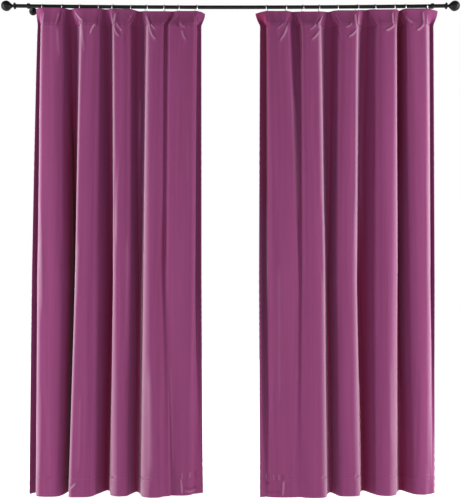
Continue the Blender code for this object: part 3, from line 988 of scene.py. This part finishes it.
def join(name, parts):
    activate(parts[0])
    for part in parts:
        part.select_set(True)
    bpy.ops.object.join()
    made = bpy.context.object
    made.name = made.data.name = name
    return made


TREES = {label: tree_of(cloth) for label, cloth in CLOTHS.items()}
for label, panel in PANELS.items():
    sewn = []
    rings = [ring for ring, of in RINGS if of == label]
    for number, (ring, turn) in enumerate(zip(rings, panel["turns"])):
        sewn += sew(ring, number, TREES[label], turn * panel["side"])
    thread = join(f"ring_thread_{label}", sewn)
    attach(thread, "root")
    ROWS_OF[label].append(thread)
    print(thread.name, triangles(thread), "triangles")
bpy.data.objects.remove(wrap_model, do_unlink=True)

# %% Say what the cloths are
for label, cloth in CLOTHS.items():
    for row in ROWS_OF[label]:
        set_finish(row, "velvet")
print("cloths declared")

# %% [markdown]
# ## Rod
# The rod is steel tube, painted black, and it sags a little between its brackets under the
# weight of the cloth. A cylinder is divided along its length, and its cuts are let down.

# %% Model the rod


def turned(name, start, axis, profile, sides=48):
    """A turned piece: a disc at start, extruded and scaled along axis through the profile."""
    piece = new_primitive(
        bpy.ops.mesh.primitive_circle_add, vertices=sides, radius=profile[0][1],
        fill_type="NGON", location=start + axis * profile[0][0],
        rotation=Vector((0, 0, 1)).rotation_difference(axis).to_euler())
    piece.name = piece.data.name = name
    select_all()
    for (here, radius), (there, next_radius) in zip(profile, profile[1:]):
        step = axis * (there - here)
        bpy.ops.mesh.extrude_region_move(TRANSFORM_OT_translate={"value": step})
        scale = next_radius / radius
        value = [1 if abs(axis[k]) > 0.5 else scale for k in range(3)]
        bpy.ops.transform.resize(value=value, center_override=start + axis * there)
    close_mesh()
    bpy.ops.object.shade_smooth_by_angle(angle=math.radians(38))
    return piece


ROD_END = COLLAR_X - GAP
CHAMFER = 0.0006
ROD_CUTS = 48
straight = 2 * (ROD_END - CHAMFER)
rod = turned("rod_tube", Vector((-ROD_END, -ROD_OUT, 0)), Vector((1, 0, 0)),
             [(0, ROD_RADIUS - CHAMFER)]
             + [(CHAMFER + straight * k / ROD_CUTS, ROD_RADIUS) for k in range(ROD_CUTS + 1)]
             + [(2 * ROD_END, ROD_RADIUS - CHAMFER)], sides=40)
points = coords(rod)
points[:, 2] += rod_height(points[:, 0])
set_coords(rod, points)
hand_over(rod, "rod", "black_metal")
print("rod", triangles(rod), "triangles, sagging", ROD_SAG, "m")

# %% [markdown]
# ## Finials
# A finial is turned from one piece: a collar against the end of the rod, a narrow neck and a
# ball. It is made the same way, from a disc that is extruded and scaled along its axis.

# %% Model the finials


def finial_profile():
    collar = [(0.0, 0.0102), (0.0003, 0.0130), (0.0008, 0.0138), (0.0016, 0.0142)]
    collar += [(0.0050, 0.0142), (0.0058, 0.0139), (0.0063, 0.0132), (0.0068, 0.0100)]
    collar += [(0.0072, 0.0075), (0.0078, NECK_RADIUS)]
    neck = [(NECK_LENGTH, NECK_RADIUS), (NECK_LENGTH + 0.0014, NECK_RADIUS + 0.0005)]
    neck += [(NECK_LENGTH + 0.0028, NECK_RADIUS + 0.0018)]
    ball = []
    for i in range(28):
        turn = math.radians(50 + 129 * i / 27)
        ball.append((BALL_OUT - BALL_RADIUS * math.cos(turn), BALL_RADIUS * math.sin(turn)))
    return collar + neck + ball


for label, side in (("left", -1), ("right", 1)):
    start = Vector((side * COLLAR_X, -ROD_OUT, rod_height(COLLAR_X)))
    finial = turned("finial_ball_" + label, start, Vector((side, 0, 0)), finial_profile())
    hand_over(finial, "finial_" + label, "black_metal")
    print(finial.name, triangles(finial), "triangles")

# %% [markdown]
# ## Brackets
# Each bracket is a domed plate on the wall, a straight arm and an open cradle that the rod lies
# in. The plate and arm are turned like the finials. The cradle is a bar of the strap's section,
# spun part of the way round the rod, with its edges bevelled, and joined on by a union.

# %% Model the brackets
PLATE_EDGE = 0.0012           # straight edge of the domed plate
CRADLE_FROM, CRADLE_TO = 40, -205    # degrees round the rod, from behind it to its front lip


def model_cradle(x):
    """The open strap under the rod at x."""
    hub = Vector((x, -ROD_OUT, 0))
    centre = hub + Vector((0, CRADLE_INNER + CRADLE_WALL / 2, 0))
    cradle = new_primitive(bpy.ops.mesh.primitive_plane_add, size=1, location=centre)
    select_all()
    bpy.ops.transform.resize(value=(CRADLE_WIDTH, CRADLE_WALL, 1), center_override=centre)
    bpy.ops.object.mode_set(mode="OBJECT")
    turn = Matrix.Rotation(math.radians(CRADLE_FROM), 4, "X")
    cradle.data.transform(Matrix.Translation(hub) @ turn @ Matrix.Translation(-hub))
    select_all()
    bpy.ops.mesh.spin(steps=36, angle=math.radians(CRADLE_TO - CRADLE_FROM), center=hub,
                      axis=(1, 0, 0))
    close_mesh(0.00001)
    return cradle


def model_bracket(label, side):
    start = Vector((side * BRACKET_X, 0, 0))
    profile = [(0.0, PLATE_RADIUS), (PLATE_EDGE, PLATE_RADIUS)]
    for k in range(1, 10):
        turn = math.radians(90 * k / 10)
        profile.append((PLATE_EDGE + (PLATE_HEIGHT - PLATE_EDGE) * math.sin(turn),
                        ARM_RADIUS + (PLATE_RADIUS - ARM_RADIUS) * math.cos(turn)))
    profile += [(PLATE_HEIGHT, ARM_RADIUS), (ROD_OUT - ROD_RADIUS - 0.002, ARM_RADIUS)]
    bracket = turned("bracket_arm_" + label, start, Vector((0, -1, 0)), profile)
    cradle = model_cradle(side * BRACKET_X)
    bevel = cradle.modifiers.new("edges", "BEVEL")
    bevel.width = 0.0006
    bevel.segments = 2
    bevel.limit_method = "ANGLE"
    bevel.angle_limit = math.radians(60)
    apply_modifiers(cradle)
    union = bracket.modifiers.new("cradle", "BOOLEAN")
    union.operation = "UNION"
    union.object = cradle
    apply_modifiers(bracket)
    bpy.data.objects.remove(cradle, do_unlink=True)
    bpy.ops.object.shade_smooth_by_angle(angle=math.radians(38))
    return hand_over(bracket, "bracket_" + label, "black_metal")


for label, side in (("left", -1), ("right", 1)):
    bracket = model_bracket(label, side)
    print(bracket.name, triangles(bracket), "triangles, size", tuple(bracket.dimensions))

# %% [markdown]
# ## Velvet
# Velvet is short pile on a woven back. Its colour is painted paler where the cloth bends towards
# the room and faces the side lights: partly the pale tips of the open pile, mostly a painted
# highlight. In the hollows it is painted deep red and darker, as painted shade. A sheen layer
# adds the rosy light at glancing angles. The pile also leans one way or another in long upright
# streaks, which show as slightly lighter and darker bands, so the pattern is stretched along the
# height of the cloth.

# %% Node helpers


def new_material(name):
    """A new material, its node tree and its shader."""
    material = bpy.data.materials.new(name)
    material.use_nodes = True
    return material, material.node_tree, material.node_tree.nodes["Principled BSDF"]


def add(tree, kind, place, **values):
    """A node of one kind with its inputs and properties set."""
    node = tree.nodes.new(kind)
    node.location = place
    for key, value in values.items():
        if key in node.inputs:
            node.inputs[key].default_value = value
        else:
            setattr(node, key, value)
    return node


def noise(tree, vector, place, scale, detail=3.0):
    node = add(tree, "ShaderNodeTexNoise", place, Scale=scale, Detail=detail, Roughness=0.55)
    tree.links.new(vector, node.inputs["Vector"])
    return node.outputs["Fac"]


def stretched(tree, vector, place, scale):
    node = add(tree, "ShaderNodeMapping", place, Scale=scale)
    tree.links.new(vector, node.inputs["Vector"])
    return node.outputs["Vector"]


def ramp(tree, value, place, stops):
    """Stops are (position, colour) or (position, grey)."""
    node = add(tree, "ShaderNodeValToRGB", place)
    while len(node.color_ramp.elements) < len(stops):
        node.color_ramp.elements.new(0.5)
    for element, (position, colour) in zip(node.color_ramp.elements, stops):
        element.position = position
        element.color = (*(colour if isinstance(colour, tuple) else (colour,) * 3), 1)
    tree.links.new(value, node.inputs["Fac"])
    return node.outputs["Color"]


def share_of(tree, value, place, start, end):
    """How far a value has come from start to end, from 0 to 1."""
    values = {"From Min": start, "From Max": end}
    node = add(tree, "ShaderNodeMapRange", place, **values)
    tree.links.new(value, node.inputs["Value"])
    return node.outputs["Result"]


def blend(tree, share, colour, towards, place):
    """A colour moved towards another one by a share from 0 to 1."""
    node = add(tree, "ShaderNodeMixRGB", place, Color2=(*towards, 1))
    tree.links.new(share, node.inputs["Fac"])
    tree.links.new(colour, node.inputs["Color1"])
    return node.outputs["Color"]


def scaled_sum(tree, value, factor, other, place):
    """value * factor + other"""
    node = add(tree, "ShaderNodeMath", place, operation="MULTIPLY_ADD")
    tree.links.new(value, node.inputs[0])
    node.inputs[1].default_value = factor
    if other is None:
        node.inputs[2].default_value = 0
    else:
        tree.links.new(other, node.inputs[2])
    return node.outputs[0]


def relief(tree, height, place, strength, distance):
    """Let a height raise the shader's surface."""
    bump = add(tree, "ShaderNodeBump", place, Strength=strength, Distance=distance)
    tree.links.new(height, bump.inputs["Height"])
    tree.links.new(bump.outputs["Normal"], tree.nodes["Principled BSDF"].inputs["Normal"])


def set_shader(tree, colour, roughness, constants):
    shader = tree.nodes["Principled BSDF"]
    tree.links.new(colour, shader.inputs["Base Color"])
    tree.links.new(roughness, shader.inputs["Roughness"])
    for name, value in constants.items():
        shader.inputs[name].default_value = value


def dress(pieces, material):
    for piece in pieces:
        piece.data.materials.clear()
        piece.data.materials.append(material)
    print(material.name, "on", len(pieces), "pieces")


# %% Velvet
# the two darkest colours are painted shade for the hollows; the palest is the pale pile tips with
# a painted highlight of the fold edges that face the side lights; the other three are the cloth's
# own streaked tone
PLUM_PAINTED_DEEP_SHADE = (0.030, 0.0012, 0.0020)
PLUM_PAINTED_SHADE = (0.135, 0.008, 0.042)
PLUM_DEEP = (0.108, 0.0185, 0.0645)
PLUM = (0.121, 0.0218, 0.0738)
PLUM_LIGHT = (0.136, 0.0265, 0.0860)
PLUM_TIPS_AND_HIGHLIGHT = (0.195, 0.093, 0.148)


def make_velvet():
    material, tree, _ = new_material("plum_velvet")
    uv = add(tree, "ShaderNodeUVMap", (-1400, 0), uv_map="flat cloth").outputs["UV"]
    long_streaks = stretched(tree, uv, (-1200, 200), (55, 1.6, 1))
    short_streaks = stretched(tree, uv, (-1200, 0), (260, 14, 1))
    bands = noise(tree, long_streaks, (-1000, 200), 1.0, 4.0)
    fine = noise(tree, short_streaks, (-1000, 0), 1.0)
    tufts = noise(tree, uv, (-1000, -200), 1500, 2.0)
    faint = scaled_sum(tree, fine, 0.38, None, (-960, 330))
    mixed = scaled_sum(tree, bands, 0.62, faint, (-800, 150))
    colour = ramp(tree, mixed, (-600, 150),
                  [(0.30, PLUM_DEEP), (0.50, PLUM), (0.72, PLUM_LIGHT)])
    # the attribute carries painted light: it moves the colour towards painted shade in the
    # hollows and towards the pale tips with their painted highlight on outward bends
    pile_and_painted_light = add(tree, "ShaderNodeAttribute", (-800, 500), attribute_name="pile_and_painted_light").outputs["Fac"]
    painted_shade_share = share_of(tree, pile_and_painted_light, (-500, 350), 0.48, 0.0)
    painted_deep_shade_share = share_of(tree, pile_and_painted_light, (-500, 850), 0.08, -0.45)
    painted_light = share_of(tree, pile_and_painted_light, (-500, 600), 0.60, 1.0)
    colour = blend(tree, painted_shade_share, colour, PLUM_PAINTED_SHADE, (-300, 300))
    colour = blend(tree, painted_deep_shade_share, colour, PLUM_PAINTED_DEEP_SHADE, (-220, 500))
    colour = blend(tree, painted_light, colour, PLUM_TIPS_AND_HIGHLIGHT, (-150, 400))
    rough = ramp(tree, fine, (-600, -100), [(0.3, 0.74), (0.7, 0.90)])
    relief(tree, scaled_sum(tree, tufts, 0.6, fine, (-600, -350)), (-300, -300), 0.35, 0.0006)
    set_shader(tree, colour, rough, {
        "Sheen Weight": 0.9, "Sheen Roughness": 0.28, "Sheen Tint": (1.0, 0.66, 0.80, 1),
        "Specular IOR Level": 0.15})
    return material


dress(CLOTHS.values(), make_velvet())

# %% [markdown]
# ## Thread
# The thread is matched to the cloth, a little smoother and so a little brighter.

# %% Thread


def make_thread():
    material, tree, _ = new_material("plum_thread")
    place = add(tree, "ShaderNodeTexCoord", (-900, 0)).outputs["Object"]
    twist = noise(tree, place, (-600, 0), 2600, 2.0)
    colour = ramp(tree, twist, (-300, 0),
                  [(0.35, (0.10, 0.012, 0.048)), (0.65, (0.19, 0.032, 0.098))])
    rough = ramp(tree, twist, (-300, -250), [(0.3, 0.45), (0.7, 0.65)])
    relief(tree, twist, (-300, -500), 0.4, 0.0002)
    set_shader(tree, colour, rough, {})
    return material


dress([row for rows in ROWS_OF.values() for row in rows], make_thread())

# %% [markdown]
# ## Black satin paint
# Powder paint on steel is never quite smooth. A fine orange-peel bump breaks the highlights,
# and faint clouds make the gloss a little uneven.

# %% Paint


def make_paint():
    material, tree, _ = new_material("black_satin_paint")
    place = add(tree, "ShaderNodeTexCoord", (-1100, 0)).outputs["Object"]
    peel = noise(tree, place, (-800, -300), 900, 2.0)
    clouds = noise(tree, place, (-800, 100), 60, 4.0)
    colour = ramp(tree, clouds, (-400, 200),
                  [(0.3, (0.0025, 0.0025, 0.0027)), (0.7, (0.006, 0.006, 0.0062))])
    rough = ramp(tree, clouds, (-400, -50), [(0.3, 0.30), (0.7, 0.42)])
    relief(tree, peel, (-400, -350), 0.12, 0.0003)
    set_shader(tree, colour, rough, {"Metallic": 0.0, "Specular IOR Level": 0.10})
    return material


dress([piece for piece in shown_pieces() if piece.get("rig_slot") == "black_metal"], make_paint())

# %% [markdown]
# ## Ring steel
# The rings are bright drawn wire. Drawing leaves very fine lines along the wire, and handling
# leaves faint dull patches.

# %% Ring steel


def make_steel():
    material, tree, _ = new_material("bright_ring_steel")
    place = add(tree, "ShaderNodeTexCoord", (-1100, 0)).outputs["Object"]
    dull = noise(tree, place, (-800, 0), 420)
    drawn = stretched(tree, place, (-950, -300), (1, 0.15, 0.15))
    lines = noise(tree, drawn, (-800, -300), 6000, 2.0)
    colour = ramp(tree, dull, (-400, 150), [(0.3, (0.62, 0.62, 0.63)), (0.7, (0.78, 0.78, 0.79))])
    rough = ramp(tree, dull, (-400, -100), [(0.3, 0.32), (0.7, 0.46)])
    relief(tree, lines, (-400, -350), 0.1, 0.0001)
    set_shader(tree, colour, rough, {"Metallic": 1.0})
    return material


dress([ring for ring, _ in RINGS], make_steel())

# %% [markdown]
# ## Floor and light
# The pair hangs in a white studio over a pale floor. Two tall soft lights stand far out at the
# left and right, close to the plane of the cloth, so the outward edge of each fold is bright and
# the hollow behind it stays dark. A weaker light from the front fills the faces, and another
# one from behind does the same for the back of the cloth.

# %% Floor
FLOOR_Z = HEM_Z - 0.022


def make_floor():
    floor = new_primitive(
        bpy.ops.mesh.primitive_plane_add, size=24, location=(0, 0, FLOOR_Z))
    floor.name = floor.data.name = "floor"
    material, _, shader = new_material("pale_floor")
    for name, value in {
            "Base Color": (0.90, 0.90, 0.90, 1), "Roughness": 0.9, "Specular IOR Level": 0.1,
            "Emission Color": (1, 1, 1, 1), "Emission Strength": 0.83}.items():
        shader.inputs[name].default_value = value
    floor.data.materials.append(material)


make_floor()
print("floor at", FLOOR_Z)

# %% World
world = bpy.data.worlds.new("studio")
bpy.context.scene.world = world
world.use_nodes = True
tree = world.node_tree
background = tree.nodes["Background"]
background.inputs["Color"].default_value = (1, 1, 1, 1)
seen = add(tree, "ShaderNodeLightPath", (-600, 0)).outputs["Is Camera Ray"]
strength = add(tree, "ShaderNodeMapRange", (-300, 0), **{"To Min": 0.20, "To Max": 1.0})
tree.links.new(seen, strength.inputs["Value"])
tree.links.new(strength.outputs["Result"], background.inputs["Strength"])
bpy.context.scene.view_settings.view_transform = "Standard"
bpy.context.scene.view_settings.look = "None"
print("white studio")

# %% Lights


def area_light(name, place, aim, size, power):
    light = bpy.data.lights.new(name, "AREA")
    light.shape = "RECTANGLE"
    light.size, light.size_y = size
    light.energy = power
    lamp = link(name, light)
    lamp.location = place
    lamp.visible_camera = False
    lamp.rotation_euler = (Vector(aim) - Vector(place)).to_track_quat("-Z", "Y").to_euler()


area_light("left_light", (-2.05, -0.62, -0.85), (-0.4, -0.1, -1.1), (0.5, 2.6), 84)
area_light("right_light", (2.05, -0.62, -0.85), (0.4, -0.1, -1.1), (0.5, 2.6), 84)
area_light("front_fill", (0, -4.6, -0.9), (0, 0, -1.1), (2.4, 2.0), 76)
area_light("back_fill", (0, 4.4, -0.9), (0, 0, -1.1), (2.4, 2.0), 45)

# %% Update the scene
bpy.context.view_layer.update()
